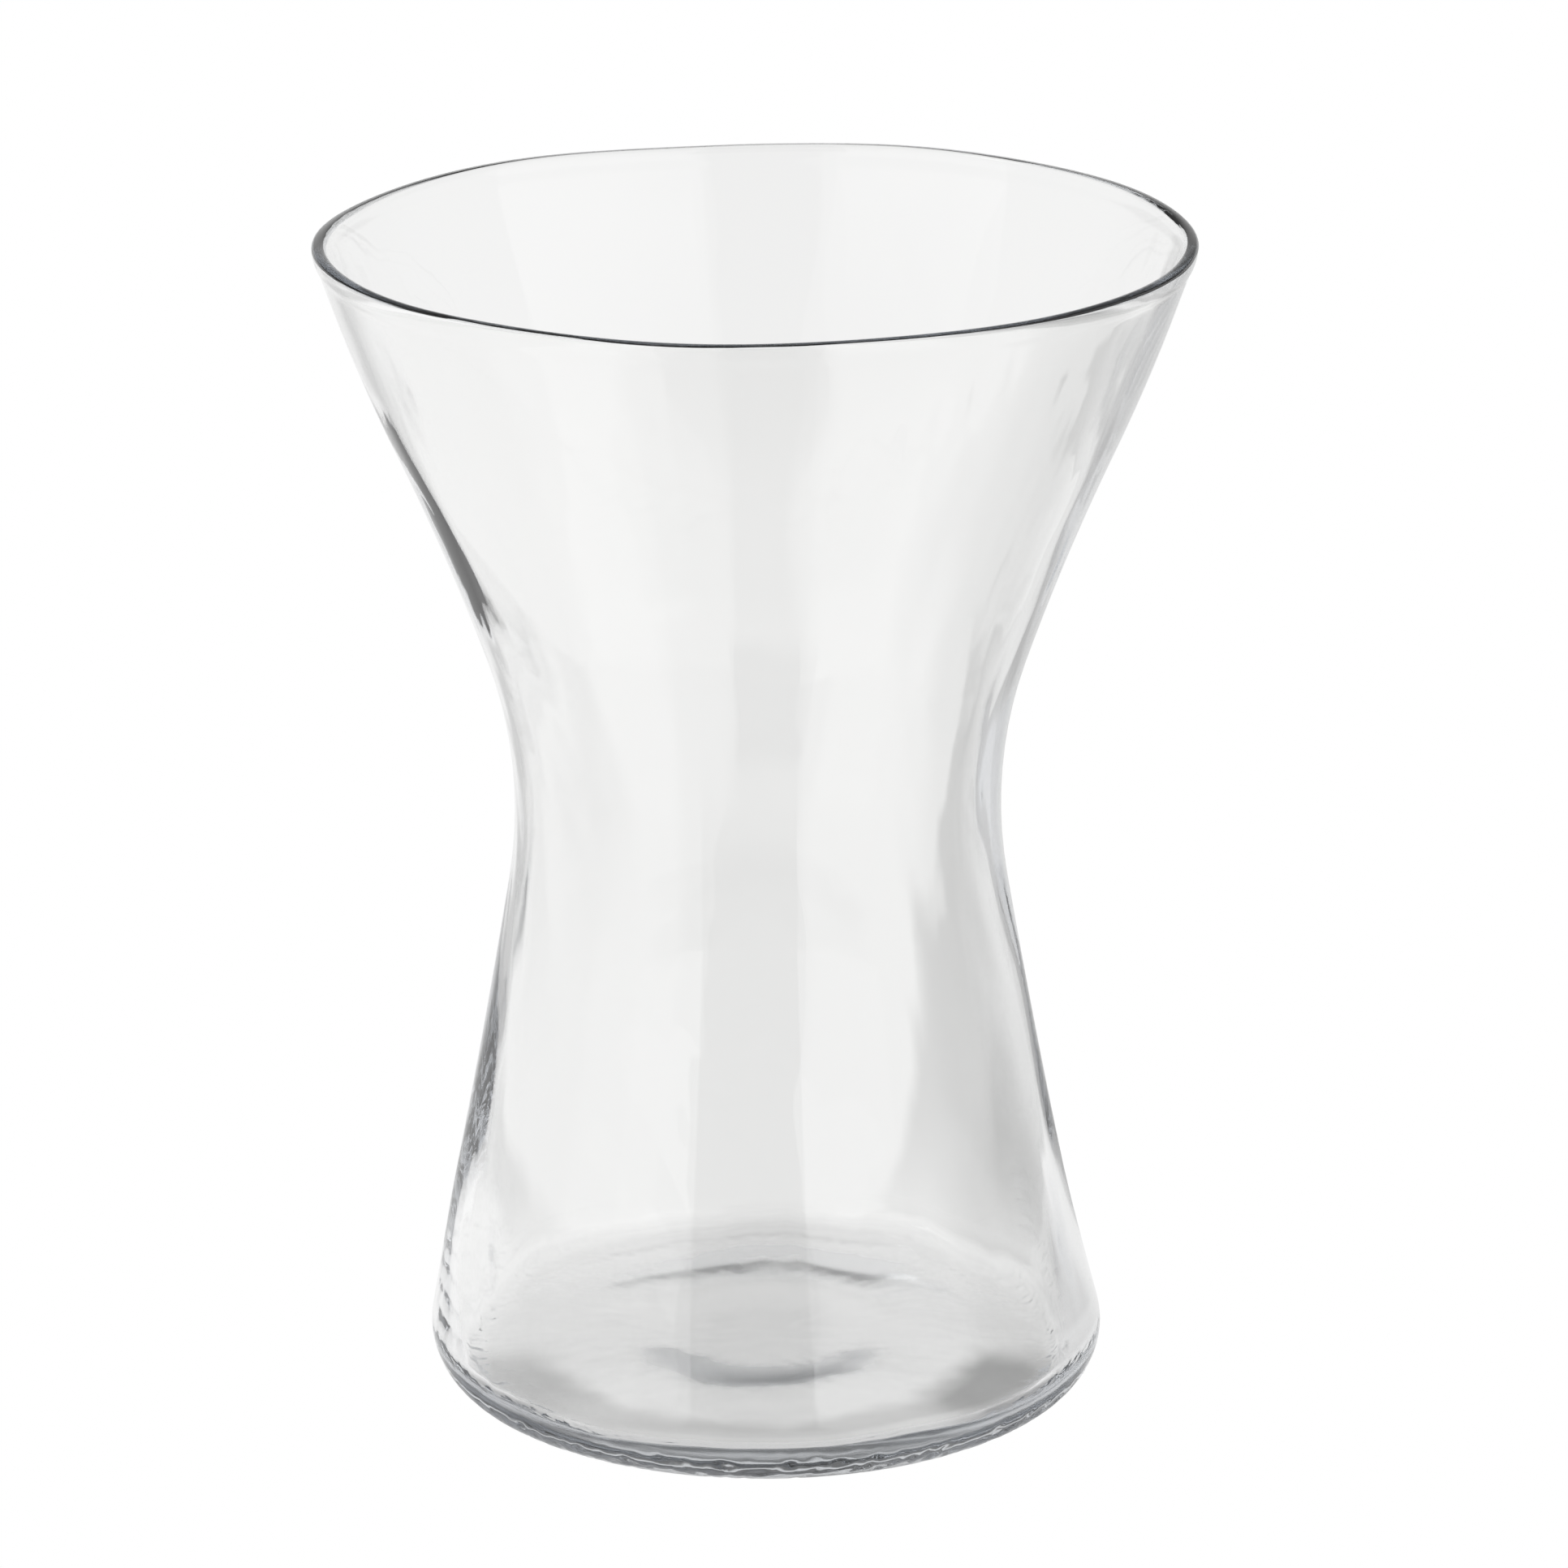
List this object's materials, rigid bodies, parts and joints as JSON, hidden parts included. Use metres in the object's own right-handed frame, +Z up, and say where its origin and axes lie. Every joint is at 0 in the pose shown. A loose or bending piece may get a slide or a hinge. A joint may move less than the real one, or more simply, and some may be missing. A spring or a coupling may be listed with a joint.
{
  "type": "vase",
  "caption": "Waisted clear glass vase with a heavy foot, a narrow waist and a flared mouth with a rounded lip, for cut flowers or a flower bulb over water.",
  "frame": {"origin": "middle of the ring that the vase rests on, on the table", "axes": "+Z up along the axis of the vase; X and Y lie on the table and are alike, because the vase is round"},
  "size_m": [0.146, 0.146, 0.2],
  "materials": {
    "clear_glass": "clear soda-lime glass, polished by the fire, with faint waves on the inside and a stippled resting ring"
  },
  "bodies": {
    "root": {"glass_vase": "clear_glass"}
  },
  "joints": []
}
